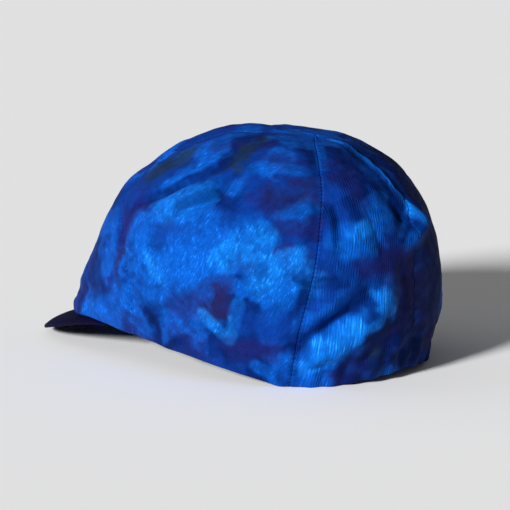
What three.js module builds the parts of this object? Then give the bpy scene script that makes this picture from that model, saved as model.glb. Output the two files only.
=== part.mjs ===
import * as THREE from 'three';

// A five-panel cloth cycling cap with a short peak, lying on its hem as it does by itself.
// Millimetres, +Z up. The peak points to -Y, the wearer's left is +X, and the table is z = 0.
// A place on the crown is an angle round it, in degrees from the front towards the wearer's left,
// and a share of the way up, from 0 at the hem to 1 at the point where all five panels meet.

// Cloth and board
const CLOTH = 1.5;
const HEM_CLOTH = 2.4;
const PEAK_BOARD = 2.2;
const SEAM_GAP = 0.3;

// The turned hem is full thickness up to one share, and the cloth is single from the other
const HEM_TURN_LOW = 0.07;
const HEM_TURN_HIGH = 0.14;

// Below this share the wall turns to stand level, so that the hem's edge keeps its height
const HEM_LEVEL_SHARE = 0.09;

// The crown's middle lies this far in front of the middle of the whole cap
const CENTRE_SHIFT = 13.6;

// The panels stop here, just short of the point where they meet
const TOP_SHARE = 0.996;

// Level sections of the crown. front and back are distances along the cap from the crown's middle,
// half is half its width, widest is where along the cap it is widest, and lean raises the front of
// the section. The outline's power is 2 for an ellipse and more for a squarer one.
const SECTIONS = [
  { share: 0.00, rise: 0, lean: 0, front: 105, back: -92, half: 66, widest: -16 },
  { share: 0.14, rise: 20, lean: 0, front: 98, back: -97, half: 72, widest: -15 },
  { share: 0.28, rise: 40, lean: 0, front: 88, back: -98, half: 75, widest: -15 },
  { share: 0.42, rise: 60, lean: 0, front: 78.5, back: -96, half: 75, widest: -16 },
  { share: 0.56, rise: 79, lean: 1, front: 68, back: -90, half: 69, widest: -18 },
  { share: 0.68, rise: 93, lean: 2, front: 54, back: -82, half: 58, widest: -22 },
  { share: 0.79, rise: 104, lean: 3, front: 34.5, back: -71, half: 44, widest: -27 },
  { share: 0.90, rise: 112.2, lean: 3, front: 8, back: -56, half: 24, widest: -32 },
  { share: 1.00, rise: 113.4, lean: 0, front: -36, back: -36, half: 0, widest: -36 },
];
const OUTLINE_POWER = 2.1;

// Height of the hem above the table at places along the cap, and how fast it fades up the crown
const HEM_LINE = [
  { along: -92, lift: 3.5 },
  { along: -84, lift: 1.2 },
  { along: -76, lift: 0 },
  { along: -57, lift: 0 },
  { along: -49, lift: 2.2 },
  { along: -38, lift: 4.7 },
  { along: -20, lift: 8.4 },
  { along: 0, lift: 11.4 },
  { along: 25, lift: 14.6 },
  { along: 48, lift: 17 },
  { along: 68, lift: 17.4 },
  { along: 86, lift: 15.4 },
  { along: 105, lift: 13.5 },
];
const LIFT_FADE_SHARE = 0.75;
const LIFT_FADE_POWER = 1.3;

// Angles of the seams from the hem to the top. front and rear are on both sides of the cap.
const SEAMS = [
  { share: 0.0, front: 68, rear: 125, back: 178 },
  { share: 0.2, front: 68, rear: 129, back: 178 },
  { share: 0.4, front: 59, rear: 135, back: 179 },
  { share: 0.6, front: 41, rear: 138, back: 182 },
  { share: 0.8, front: 33, rear: 138, back: 182 },
  { share: 1.0, front: 36, rear: 132, back: 187 },
];
const SEAM_DIP = 1.0;
const SEAM_DIP_WIDTH = 5;

// Folds and puffs of the cloth. Each runs from one place to another by way of a middle place,
// height is how far it stands out of the crown, or in where negative, and width is its half width.
const FOLDS = [
  { name: 'side crease', angle: 82, share: 0.80, midAngle: 75, midShare: 0.69, endAngle: 57,
    endShare: 0.53, height: -3.4, width: 4.5 },
  { name: 'side crease ridge', angle: 88, share: 0.80, midAngle: 81, midShare: 0.66, endAngle: 64,
    endShare: 0.50, height: 2.4, width: 6 },
  { name: 'hooked crease', angle: 90, share: 0.74, midAngle: 90, midShare: 0.64, endAngle: 81,
    endShare: 0.58, height: -3.0, width: 4 },
  { name: 'low side crease', angle: 75, share: 0.00, midAngle: 81, midShare: 0.14, endAngle: 95,
    endShare: 0.20, height: -2.6, width: 6 },
  { name: 'left brow crease', angle: 0, share: 0.10, midAngle: 36, midShare: 0.11, endAngle: 64,
    endShare: 0.16, height: -1.6, width: 4.5 },
  { name: 'right brow crease', angle: 0, share: 0.10, midAngle: -36, midShare: 0.11, endAngle: -64,
    endShare: 0.15, height: -1.6, width: 4.5 },
  { name: 'brow roll', angle: -52, share: 0.05, midAngle: 0, midShare: 0.04, endAngle: 52,
    endShare: 0.06, height: 1.4, width: 6 },
  { name: 'rear upper ridge', angle: 129, share: 0.20, midAngle: 137, midShare: 0.27, endAngle: 147,
    endShare: 0.34, height: 3.4, width: 6 },
  { name: 'rear valley', angle: 129, share: 0.14, midAngle: 140, midShare: 0.22, endAngle: 153,
    endShare: 0.29, height: -4.4, width: 6 },
  { name: 'rear lower ridge', angle: 127, share: 0.06, midAngle: 146, midShare: 0.17, endAngle: 167,
    endShare: 0.31, height: 4.6, width: 8 },
  { name: 'rear puff', angle: 146, share: 0.47, midAngle: 152, midShare: 0.51, endAngle: 160,
    endShare: 0.53, height: 3.4, width: 15 },
  { name: 'rear hollow', angle: 142, share: 0.64, midAngle: 146, midShare: 0.56, endAngle: 143,
    endShare: 0.47, height: -3.4, width: 5 },
  { name: 'back pinch', angle: 182, share: 0.64, midAngle: 188, midShare: 0.54, endAngle: 173,
    endShare: 0.45, height: 3.4, width: 6 },
  { name: 'back tuck', angle: 171, share: 0.42, midAngle: 171, midShare: 0.34, endAngle: 170,
    endShare: 0.22, height: -2.6, width: 5 },
  { name: 'right rear ridge', angle: 233, share: 0.09, midAngle: 216, midShare: 0.18, endAngle: 200,
    endShare: 0.28, height: 1.4, width: 9 },
  { name: 'right rear slack', angle: 212, share: 0.74, midAngle: 219, midShare: 0.42, endAngle: 222,
    endShare: 0.10, height: -2.4, width: 26 },
  { name: 'right hem tuck', angle: 202, share: 0.09, midAngle: 214, midShare: 0.06, endAngle: 228,
    endShare: 0.02, height: -3.2, width: 8 },
  { name: 'right rear valley', angle: 231, share: 0.21, midAngle: 220, midShare: 0.28, endAngle: 209,
    endShare: 0.36, height: -2.4, width: 7 },
  { name: 'right side crease', angle: 278, share: 0.76, midAngle: 286, midShare: 0.64, endAngle: 302,
    endShare: 0.55, height: -2.0, width: 6 },
];
const FOLD_STEPS = 10;

// A fold has not quite died out at its ends, and all folds die out from this share to the top
const FOLD_END = 0.04;
const CALM_SHARE = 0.9;

// Gathers that the elastic pulls in along the rear hem. They rise over the first degrees from each
// rear seam, and are unevenly spaced: their waves run ahead and fall behind by the drift, in radians.
const GATHERS = 13;
const GATHER_DEPTH = 0.7;
const GATHER_TOP_SHARE = 0.24;
const GATHER_RAMP = 8;
const GATHER_DRIFT = 0.9;
const DRIFT_TURNS = 1.5;

// The peak's outer edge is half of an oval seen from above, drawn from its middle on the cap's axis.
// The oval's power is 2 for an ellipse, and the board is thinner at its two corners.
const PEAK_MIDDLE = 50;
const PEAK_REACH = 75;
const PEAK_HALF = 53;
const PEAK_OUTLINE_POWER = 2.2;
const PEAK_CORNER = 1.0;
const PEAK_ROOT_ANGLE = 53;
const PEAK_EDGE_ANGLE = 87;
const PEAK_EDGE_RISE = 14.2;
const PEAK_EDGE_POWER = 3;
const PEAK_CROWNING = 1.8;
// Brings the greatest value of out * out * (1 - out), two thirds of the way out, to 1
const CROWNING_SCALE = 6.75;

// Columns and rows of each piece's grid
const CROWN_ROWS = 18;
const FRONT_COLUMNS = 16;
const SIDE_COLUMNS = 18;
const REAR_COLUMNS = 38;
const PEAK_COLUMNS = 26;
const PEAK_ROWS = 6;

// Small steps in share and angle for measuring the slope of a surface
const SHARE_STEP = 0.004;
const ANGLE_STEP = 1;

const clamp = THREE.MathUtils.clamp;
const lerp = THREE.MathUtils.lerp;
const radians = THREE.MathUtils.degToRad;
const smoothstep = THREE.MathUtils.smoothstep;

// A smooth value from one column of a table, read between the rows on either side of a place
function readTable(table, placeColumn, column, place) {
  const last = table.length - 1;
  let row = 0;
  while (row < last - 1 && place > table[row + 1][placeColumn]) {
    row += 1;
  }
  const slopeAt = (index) => {
    const before = table[Math.max(index - 1, 0)];
    const after = table[Math.min(index + 1, last)];
    return (after[column] - before[column]) / (after[placeColumn] - before[placeColumn]);
  };
  const low = table[row];
  const high = table[row + 1];
  const span = high[placeColumn] - low[placeColumn];
  const s = clamp((place - low[placeColumn]) / span, 0, 1);
  const bend = s * s * (3 - 2 * s);
  const leave = s * (1 - s) * (1 - s) * span * slopeAt(row);
  const arrive = s * s * (s - 1) * span * slopeAt(row + 1);
  return lerp(low[column], high[column], bend) + leave + arrive;
}

// Height of the hem above the table, at a place along the cap
function hemLift(along) {
  const flat = HEM_LINE.find((row, index) => (
    row.lift === 0 && HEM_LINE[index + 1].lift === 0
    && along >= row.along && along <= HEM_LINE[index + 1].along
  ));
  return flat ? 0 : Math.max(readTable(HEM_LINE, 'along', 'lift', along), 0);
}

// Distance from the middle to the edge of an oval of half width 1, at an angle in radians
function ovalRadius(turn, power) {
  return (Math.abs(Math.cos(turn)) ** power + Math.abs(Math.sin(turn)) ** power) ** (-1 / power);
}

// Where an angle meets a level section's outline: distance along the cap, and out to the left
function outline(angle, share) {
  const read = (column) => readTable(SECTIONS, 'share', column, share);
  const cosine = Math.cos(radians(angle));
  const sine = Math.sin(radians(angle));
  const radius = ovalRadius(radians(angle), OUTLINE_POWER);
  const end = cosine > 0 ? read('front') : read('back');
  const reach = Math.abs(end - read('widest'));
  return { along: read('widest') + reach * cosine * radius, out: read('half') * sine * radius };
}

// The crown before folds, with its middle moved so that the whole cap is centred
function smoothCrown(angle, share) {
  const place = outline(angle, share);
  const lean = readTable(SECTIONS, 'share', 'lean', share) * Math.cos(radians(angle));
  const fade = clamp(1 - share / LIFT_FADE_SHARE, 0, 1) ** LIFT_FADE_POWER;
  const height = readTable(SECTIONS, 'share', 'rise', share) + lean
    + hemLift(outline(angle, 0).along) * fade;
  return new THREE.Vector3(place.out, CENTRE_SHIFT - place.along, height);
}

// Outward direction of a surface given as a function of angle and share. At the hem it is level,
// so that the hem's lower edge keeps its height.
function outward(surface, angle, share) {
  const low = clamp(share - SHARE_STEP, 0, 1 - 2 * SHARE_STEP);
  const up = surface(angle, low + 2 * SHARE_STEP).sub(surface(angle, low));
  const round = surface(angle + ANGLE_STEP, share).sub(surface(angle - ANGLE_STEP, share));
  const normal = round.cross(up).normalize();
  normal.z *= smoothstep(share, 0, HEM_LEVEL_SHARE);
  return normal.normalize();
}

// Each fold's line over the smooth crown, as a bent path through its three places
const foldPaths = FOLDS.map((fold) => {
  const path = [];
  for (let step = 0; step <= FOLD_STEPS; step += 1) {
    const s = step / FOLD_STEPS;
    const bend = (from, middle, to) => (
      from * (1 - s) * (1 - 2 * s) + middle * 4 * s * (1 - s) + to * s * (2 * s - 1)
    );
    path.push(smoothCrown(
      bend(fold.angle, fold.midAngle, fold.endAngle),
      bend(fold.share, fold.midShare, fold.endShare),
    ));
  }
  return path;
});

// How far one fold lifts the cloth at a point: most on its line, fading to its sides and ends
function foldLift(fold, path, point) {
  let nearest = Infinity;
  let place = 0;
  const leg = new THREE.Line3();
  const foot = new THREE.Vector3();
  for (let step = 0; step < FOLD_STEPS; step += 1) {
    leg.set(path[step], path[step + 1]);
    const along = leg.closestPointToPointParameter(point, true);
    const distance = leg.at(along, foot).distanceTo(point);
    if (distance < nearest) {
      nearest = distance;
      place = (step + along) / FOLD_STEPS;
    }
  }
  const ends = Math.sqrt(Math.sin(Math.PI * clamp(place, FOLD_END, 1 - FOLD_END)));
  return fold.height * ends * Math.exp(-((nearest / fold.width) ** 2));
}

// Seam angles at a share, from the wearer's left front round to the right front
function seamAngles(share) {
  const read = (column) => readTable(SEAMS, 'share', column, share);
  const front = read('front');
  const rear = read('rear');
  return { leftFront: front, leftRear: rear, back: read('back'), rightRear: 360 - rear,
    rightFront: 360 - front };
}

// Millimetres of the smooth crown for each degree round it
function degreeLength(angle, share) {
  const before = smoothCrown(angle - ANGLE_STEP / 2, share);
  return smoothCrown(angle + ANGLE_STEP / 2, share).distanceTo(before) / ANGLE_STEP;
}

// The seams lie in shallow valleys between the panels
function seamLift(angle, share) {
  const turned = (angle + 360) % 360;
  const length = degreeLength(angle, share);
  return Object.values(seamAngles(share)).reduce((lift, seam) => {
    const distance = (turned - seam) * length;
    return lift - SEAM_DIP * Math.exp(-((distance / SEAM_DIP_WIDTH) ** 2));
  }, 0);
}

// Waves of the gathered rear hem, deepest at the hem and gone a quarter of the way up
function gatherLift(angle, share) {
  const turned = (angle + 360) % 360;
  const seams = seamAngles(share);
  const span = seams.rightRear - seams.leftRear;
  const place = turned - seams.leftRear;
  const ramp = smoothstep(place, 0, GATHER_RAMP) * smoothstep(span - place, 0, GATHER_RAMP);
  const height = 1 - smoothstep(share, 0, GATHER_TOP_SHARE);
  const drift = GATHER_DRIFT * Math.sin(2 * Math.PI * DRIFT_TURNS * (place / span));
  return GATHER_DEPTH * ramp * height * Math.cos(2 * Math.PI * GATHERS * (place / span) + drift);
}

// The outer face of the cloth, with its folds, seam valleys and gathers
function outerFace(angle, share) {
  const point = smoothCrown(angle, share);
  const fade = 1 - smoothstep(share, CALM_SHARE, 1);
  let lift = (seamLift(angle, share) + gatherLift(angle, share)) * fade;
  FOLDS.forEach((fold, index) => {
    lift += foldLift(fold, foldPaths[index], point) * fade;
  });
  const height = point.z;
  point.addScaledVector(outward(smoothCrown, angle, share), lift);
  if (share === 0) {
    point.z = height;
  }
  return point;
}

// The inner face of the cloth, thicker where the hem is turned up
function innerFace(angle, share) {
  const wall = lerp(HEM_CLOTH, CLOTH, smoothstep(share, HEM_TURN_LOW, HEM_TURN_HIGH));
  return outerFace(angle, share).addScaledVector(outward(outerFace, angle, share), -wall);
}

// A closed solid between two grids of points, each a list of rows from the lower edge up. Seen from
// outside, the rows run to the right.
function closedShell(outer, inner) {
  const rows = outer.length - 1;
  const columns = outer[0].length - 1;
  const points = [...outer.flat(), ...inner.flat()];
  const faces = [];
  const at = (side, row, column) => (side * (rows + 1) + row) * (columns + 1) + column;
  const quad = (a, b, c, d) => faces.push(a, b, c, a, c, d);
  for (let row = 0; row < rows; row += 1) {
    for (let column = 0; column < columns; column += 1) {
      quad(at(0, row, column), at(0, row, column + 1), at(0, row + 1, column + 1),
        at(0, row + 1, column));
      quad(at(1, row, column), at(1, row + 1, column), at(1, row + 1, column + 1),
        at(1, row, column + 1));
    }
    quad(at(0, row, 0), at(0, row + 1, 0), at(1, row + 1, 0), at(1, row, 0));
    quad(at(0, row, columns), at(1, row, columns), at(1, row + 1, columns),
      at(0, row + 1, columns));
  }
  for (let column = 0; column < columns; column += 1) {
    quad(at(0, 0, column), at(1, 0, column), at(1, 0, column + 1), at(0, 0, column + 1));
    quad(at(0, rows, column), at(0, rows, column + 1), at(1, rows, column + 1),
      at(1, rows, column));
  }
  const geometry = new THREE.BufferGeometry();
  const numbers = points.flatMap((point) => point.toArray());
  geometry.setAttribute('position', new THREE.Float32BufferAttribute(numbers, 3));
  geometry.setIndex(faces);
  geometry.computeVertexNormals();
  return geometry;
}

// One crown panel between two seams, each half a gap short of its seam
function crownPanel(startSeam, endSeam, columns) {
  const grid = (surface) => {
    const rows = [];
    for (let row = 0; row <= CROWN_ROWS; row += 1) {
      const share = TOP_SHARE * (row / CROWN_ROWS);
      const start = startSeam(share);
      const end = endSeam(share);
      const from = start + SEAM_GAP / 2 / degreeLength(start, share);
      const to = end - SEAM_GAP / 2 / degreeLength(end, share);
      const line = [];
      for (let column = 0; column <= columns; column += 1) {
        line.push(surface(lerp(from, to, column / columns), share));
      }
      rows.push(line);
    }
    return rows;
  };
  return closedShell(grid(outerFace), grid(innerFace));
}

// The peak. Its root carries the front of the hem, and its outer edge comes down to the table.
function peakBoard() {
  const top = [];
  const under = [];
  for (let row = 0; row <= PEAK_ROWS; row += 1) {
    const out = row / PEAK_ROWS;
    const topLine = [];
    const underLine = [];
    for (let column = 0; column <= PEAK_COLUMNS; column += 1) {
      const across = 2 * (column / PEAK_COLUMNS) - 1;
      const root = innerFace(across * PEAK_ROOT_ANGLE, 0);
      root.z = smoothCrown(across * PEAK_ROOT_ANGLE, 0).z - SEAM_GAP;
      const turn = radians(across * PEAK_EDGE_ANGLE);
      const size = ovalRadius(turn, PEAK_OUTLINE_POWER);
      const edge = new THREE.Vector3(
        PEAK_HALF * Math.sin(turn) * size,
        CENTRE_SHIFT - PEAK_MIDDLE - PEAK_REACH * Math.cos(turn) * size,
        PEAK_BOARD + PEAK_EDGE_RISE * Math.abs(Math.sin(turn)) ** PEAK_EDGE_POWER,
      );
      const point = root.lerp(edge, out);
      const arch = CROWNING_SCALE * out * out * (1 - out) * (1 - across * across);
      point.z += PEAK_CROWNING * arch;
      topLine.push(point);
      const board = lerp(PEAK_BOARD, PEAK_CORNER, across ** 4);
      underLine.push(point.clone().setZ(point.z - board));
    }
    top.push(topLine);
    under.push(underLine);
  }
  return closedShell(under, top);
}

// Dyed cotton in the cap's colours
function dyedCotton(colour) {
  return new THREE.MeshStandardMaterial({ color: colour, roughness: 0.75, metalness: 0 });
}

const PIECES = [
  { name: 'front_panel', colour: 0x2a5fc4, geometry: crownPanel(
    (share) => seamAngles(share).rightFront - 360,
    (share) => seamAngles(share).leftFront, FRONT_COLUMNS) },
  { name: 'side_panel_left', colour: 0x2866cc, geometry: crownPanel(
    (share) => seamAngles(share).leftFront,
    (share) => seamAngles(share).leftRear, SIDE_COLUMNS) },
  { name: 'rear_panel_left', colour: 0x2450b4, geometry: crownPanel(
    (share) => seamAngles(share).leftRear,
    (share) => seamAngles(share).back, REAR_COLUMNS) },
  { name: 'rear_panel_right', colour: 0x203a94, geometry: crownPanel(
    (share) => seamAngles(share).back,
    (share) => seamAngles(share).rightRear, REAR_COLUMNS) },
  { name: 'side_panel_right', colour: 0x2858b8, geometry: crownPanel(
    (share) => seamAngles(share).rightRear,
    (share) => seamAngles(share).rightFront, SIDE_COLUMNS) },
  { name: 'peak', colour: 0x1c1a3c, geometry: peakBoard() },
];

const cap = new THREE.Group();
PIECES.forEach((piece) => {
  const mesh = new THREE.Mesh(piece.geometry, dyedCotton(piece.colour));
  mesh.name = piece.name;
  cap.add(mesh);
});

export default cap;
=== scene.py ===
"""A five-panel cloth cycling cap with a short peak, lying on its hem.

Blender works in metres. The cap maker's tables below are in millimetres, and MM turns them into
metres. The peak points to -Y, the wearer's left is +X, and the floor is z = 0. A place on the
crown is an angle round it, in degrees from the front towards the wearer's left, and a share of the
way up, from 0 at the hem to 1 at the point where all five panels meet.
"""
import math

import bmesh
import bpy
import numpy as np
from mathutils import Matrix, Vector


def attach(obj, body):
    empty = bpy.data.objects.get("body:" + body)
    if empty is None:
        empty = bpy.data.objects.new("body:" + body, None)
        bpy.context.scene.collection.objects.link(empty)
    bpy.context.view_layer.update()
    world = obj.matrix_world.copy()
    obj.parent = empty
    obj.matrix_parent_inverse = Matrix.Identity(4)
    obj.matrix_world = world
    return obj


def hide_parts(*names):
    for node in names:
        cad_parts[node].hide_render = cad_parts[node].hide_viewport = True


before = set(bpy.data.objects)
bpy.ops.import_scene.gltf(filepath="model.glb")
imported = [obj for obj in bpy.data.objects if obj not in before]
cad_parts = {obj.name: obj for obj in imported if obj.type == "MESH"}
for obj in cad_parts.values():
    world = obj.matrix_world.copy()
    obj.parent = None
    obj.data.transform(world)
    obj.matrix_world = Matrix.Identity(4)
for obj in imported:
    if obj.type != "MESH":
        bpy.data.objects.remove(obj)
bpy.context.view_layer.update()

MM = 0.001

# The crown, in the same sizes as the solids that it stands for. In its level sections, rise is the
# height, lean is how much more of it the front has, front, back and widest are places along the
# cap, and half is half the width.
CENTRE_SHIFT = 13.6
OUTLINE_POWER = 2.1
SECTIONS = [
    dict(share=0.00, rise=0, lean=0, front=105, back=-92, half=66, widest=-16),
    dict(share=0.14, rise=20, lean=0, front=98, back=-97, half=72, widest=-15),
    dict(share=0.28, rise=40, lean=0, front=88, back=-98, half=75, widest=-15),
    dict(share=0.42, rise=60, lean=0, front=78.5, back=-96, half=75, widest=-16),
    dict(share=0.56, rise=79, lean=1, front=68, back=-90, half=69, widest=-18),
    dict(share=0.68, rise=93, lean=2, front=54, back=-82, half=58, widest=-22),
    dict(share=0.79, rise=104, lean=3, front=34.5, back=-71, half=44, widest=-27),
    dict(share=0.90, rise=112.2, lean=3, front=8, back=-56, half=24, widest=-32),
    dict(share=1.00, rise=113.4, lean=0, front=-36, back=-36, half=0, widest=-36),
]

# The hem's height above the floor at places along the cap. It is flat where it rests.
HEM_LINE = [
    dict(along=-92, lift=3.5),
    dict(along=-84, lift=1.2),
    dict(along=-76, lift=0),
    dict(along=-57, lift=0),
    dict(along=-49, lift=2.2),
    dict(along=-38, lift=4.7),
    dict(along=-20, lift=8.4),
    dict(along=0, lift=11.4),
    dict(along=25, lift=14.6),
    dict(along=48, lift=17),
    dict(along=68, lift=17.4),
    dict(along=86, lift=15.4),
    dict(along=105, lift=13.5),
]
HEM_FLAT = (-76, -57)
LIFT_FADE_SHARE = 0.75
LIFT_FADE_POWER = 1.3
HEM_LEVEL_SHARE = 0.09

# Angles of the seams. front and rear are on both sides of the cap.
SEAMS = [
    dict(share=0.0, front=68, rear=125, back=178),
    dict(share=0.2, front=68, rear=129, back=178),
    dict(share=0.4, front=59, rear=135, back=179),
    dict(share=0.6, front=41, rear=138, back=182),
    dict(share=0.8, front=33, rear=138, back=182),
    dict(share=1.0, front=36, rear=132, back=187),
]
SEAM_DIP = 1.0
SEAM_DIP_WIDTH = 5

# Folds and puffs, each through three places (angle, share), with its height and half width
FOLDS = [
    dict(name="side crease", places=[(82, .80), (75, .69), (57, .53)], height=-3.4, width=4.5),
    dict(name="side crease ridge", places=[(88, .80), (81, .66), (64, .50)], height=2.4, width=6),
    dict(name="hooked crease", places=[(90, .74), (90, .64), (81, .58)], height=-3.0, width=4),
    dict(name="low side crease", places=[(75, 0), (81, .14), (95, .20)], height=-2.6, width=6),
    dict(name="left brow crease", places=[(0, .10), (36, .11), (64, .16)], height=-1.6, width=4.5),
    dict(name="right brow crease", places=[(0, .10), (-36, .11), (-64, .15)], height=-1.6,
         width=4.5),
    dict(name="brow roll", places=[(-52, .05), (0, .04), (52, .06)], height=1.4, width=6),
    dict(name="rear upper ridge", places=[(129, .20), (137, .27), (147, .34)], height=3.4,
         width=6),
    dict(name="rear valley", places=[(129, .14), (140, .22), (153, .29)], height=-4.4, width=6),
    dict(name="rear lower ridge", places=[(127, .06), (146, .17), (167, .31)], height=4.6,
         width=8),
    dict(name="rear puff", places=[(146, .47), (152, .51), (160, .53)], height=3.4, width=15),
    dict(name="rear hollow", places=[(142, .64), (146, .56), (143, .47)], height=-3.4, width=5),
    dict(name="back pinch", places=[(182, .64), (188, .54), (173, .45)], height=3.4, width=6),
    dict(name="back tuck", places=[(171, .42), (171, .34), (170, .22)], height=-2.6, width=5),
    dict(name="right rear ridge", places=[(233, .09), (216, .18), (200, .28)], height=1.4,
         width=9),
    dict(name="right rear slack", places=[(212, .74), (219, .42), (222, .10)], height=-2.4,
         width=26),
    dict(name="right hem tuck", places=[(202, .09), (214, .06), (228, .02)], height=-3.2,
         width=8),
    dict(name="right rear valley", places=[(231, .21), (220, .28), (209, .36)], height=-2.4,
         width=7),
    dict(name="right side crease", places=[(278, .76), (286, .64), (302, .55)], height=-2.0,
         width=6),
]
FOLD_STEPS = 10
FOLD_END = 0.04
CALM_SHARE = 0.9

# Small creases of the cloth alone, finer than the solids hold
FINE_FOLDS = [
    dict(name="back seam ridge", places=[(184, .97), (180.8, .80), (180.4, .61)], height=2.2,
         width=1.6),
    dict(name="pinch corner", places=[(181.5, .62), (184.3, .56), (187.5, .505)], height=3.0,
         width=2.5),
    dict(name="pinch underside", places=[(187.5, .505), (183, .485), (176, .455)], height=2.4,
         width=3.5),
    dict(name="pinch shadow", places=[(174, .61), (176, .57), (175, .54)], height=-3.0, width=3),
    dict(name="upper crease lip", places=[(80, .80), (72, .69), (56, .55)], height=1.3, width=2),
    dict(name="side crease line", places=[(81, .80), (74, .69), (57, .535)], height=-1.2,
         width=1.4),
    dict(name="hook line", places=[(89, .73), (89.5, .64), (81, .585)], height=-1.0, width=1.4),
    dict(name="valley line", places=[(129, .13), (140, .21), (154, .29)], height=-1.0, width=1.8),
    dict(name="hook lip", places=[(86, .73), (86, .65), (78, .60)], height=1.4, width=2),
    dict(name="low crease tail", places=[(84, .03), (90, .10), (99, .13)], height=-1.3, width=3),
    dict(name="puff edge", places=[(139, .66), (141.5, .55), (140, .40)], height=1.6, width=3.5),
    dict(name="seam tuck", places=[(130, .02), (136, .08), (147, .10)], height=-1.4, width=3),
    dict(name="rear drag", places=[(150, .06), (160, .12), (172, .15)], height=-1.6, width=4),
    dict(name="nape drag", places=[(168, .03), (178, .10), (190, .12)], height=-1.4, width=4),
    dict(name="right nape drag", places=[(228, .03), (215, .09), (203, .11)], height=-1.0,
         width=4),
]

# Gathers that the elastic pulls in along the rear hem
GATHERS = 13
GATHER_DEPTH = 0.7
GATHER_TOP_SHARE = 0.24
GATHER_RAMP = 8
GATHER_DRIFT = 0.9
DRIFT_TURNS = 1.5

# The peak's board
PEAK_BOARD = 2.2
HEM_CLOTH = 2.4
SEAM_GAP = 0.3
PEAK_MIDDLE = 50
PEAK_REACH = 75
PEAK_HALF = 53
PEAK_OUTLINE_POWER = 2.2
PEAK_CORNER = 1.0
PEAK_ROOT_ANGLE = 53
PEAK_EDGE_ANGLE = 87
PEAK_EDGE_RISE = 14.2
PEAK_EDGE_POWER = 3
PEAK_CROWNING = 1.8
CROWNING_SCALE = 6.75

SHARE_STEP = 0.004
ANGLE_STEP = 1


def smoothstep(x, low, high):
    """0 below low, 1 above high, and smooth between."""
    t = np.clip((x - low) / (high - low), 0, 1)
    return t * t * (3 - 2 * t)


def read_table(table, place_column, column, place):
    """Smooth values from one column of a table, read between its rows."""
    places = np.array([row[place_column] for row in table], float)
    values = np.array([row[column] for row in table], float)
    last = len(places) - 1
    row = np.clip(np.searchsorted(places, place) - 1, 0, last - 1)
    before = np.maximum(np.arange(last + 1) - 1, 0)
    after = np.minimum(np.arange(last + 1) + 1, last)
    slopes = (values[after] - values[before]) / (places[after] - places[before])
    span = places[row + 1] - places[row]
    s = np.clip((place - places[row]) / span, 0, 1)
    bend = s * s * (3 - 2 * s)
    leave = s * (1 - s) ** 2 * span * slopes[row]
    arrive = s * s * (s - 1) * span * slopes[row + 1]
    return values[row] + (values[row + 1] - values[row]) * bend + leave + arrive


def hem_lift(along):
    """Height of the hem above the floor, at places along the cap."""
    flat = (along >= HEM_FLAT[0]) & (along <= HEM_FLAT[1])
    return np.where(flat, 0, np.maximum(read_table(HEM_LINE, "along", "lift", along), 0))


def oval_radius(turn, power):
    """Reach of an oval one wide and one long, which is fuller at the corners for a higher power."""
    return (np.abs(np.cos(turn)) ** power + np.abs(np.sin(turn)) ** power) ** (-1 / power)


def outline(angle, share):
    """Distance along the cap, and out to the left, where angles meet level sections."""
    cosine, sine = np.cos(np.radians(angle)), np.sin(np.radians(angle))
    radius = oval_radius(np.radians(angle), OUTLINE_POWER)
    front, back, half, widest = (
        read_table(SECTIONS, "share", column, share)
        for column in ("front", "back", "half", "widest")
    )
    reach = np.abs(np.where(cosine > 0, front, back) - widest)
    return widest + reach * cosine * radius, half * sine * radius


def smooth_crown(angle, share):
    """The crown before its folds, as points in millimetres."""
    angle, share = np.broadcast_arrays(np.asarray(angle, float), np.asarray(share, float))
    along, out = outline(angle, share)
    lean = read_table(SECTIONS, "share", "lean", share) * np.cos(np.radians(angle))
    fade = np.clip(1 - share / LIFT_FADE_SHARE, 0, 1) ** LIFT_FADE_POWER
    hem_along = outline(angle, np.zeros_like(share))[0]
    height = read_table(SECTIONS, "share", "rise", share) + lean + hem_lift(hem_along) * fade
    return np.stack([out, CENTRE_SHIFT - along, height], axis=-1)


def outward(angle, share):
    """Outward directions of the smooth crown, level at the hem."""
    top = 1 - 4 * SHARE_STEP
    low = np.clip(share - SHARE_STEP, 0, top)
    up = smooth_crown(angle, low + 2 * SHARE_STEP) - smooth_crown(angle, low)
    ring = np.clip(share, 0, top)
    round_ = smooth_crown(angle + ANGLE_STEP, ring) - smooth_crown(angle - ANGLE_STEP, ring)
    normal = np.cross(round_, up)
    normal /= np.linalg.norm(normal, axis=-1, keepdims=True)
    normal[..., 2] *= smoothstep(share, 0, HEM_LEVEL_SHARE)
    return normal / np.linalg.norm(normal, axis=-1, keepdims=True)


def fold_path(places):
    """A bent path over the smooth crown through three places."""
    s = np.linspace(0, 1, FOLD_STEPS + 1)
    weights = [(1 - s) * (1 - 2 * s), 4 * s * (1 - s), s * (2 * s - 1)]
    angle, share = (sum(w * place[k] for w, place in zip(weights, places)) for k in (0, 1))
    return smooth_crown(angle, np.clip(share, 0, 1))


def fold_lift(fold, points):
    """How far one fold lifts the cloth at each point."""
    path = fold_path(fold["places"])
    nearest = np.full(points.shape[:-1], np.inf)
    place = np.zeros(points.shape[:-1])
    for step in range(FOLD_STEPS):
        start, leg = path[step], path[step + 1] - path[step]
        along = np.clip((points - start) @ leg / (leg @ leg), 0, 1)
        distance = np.linalg.norm(points - start - along[..., None] * leg, axis=-1)
        closer = distance < nearest
        nearest = np.where(closer, distance, nearest)
        place = np.where(closer, (step + along) / FOLD_STEPS, place)
    ends = np.sqrt(np.sin(math.pi * np.clip(place, FOLD_END, 1 - FOLD_END)))
    return fold["height"] * ends * np.exp(-((nearest / fold["width"]) ** 2))


def seam_angles(share):
    """The seams' angles, from the wearer's left front round to the right front."""
    front, rear, back = (
        read_table(SEAMS, "share", column, share) for column in ("front", "rear", "back")
    )
    return dict(left_front=front, left_rear=rear, back=back, right_rear=360 - rear,
                right_front=360 - front)


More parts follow.
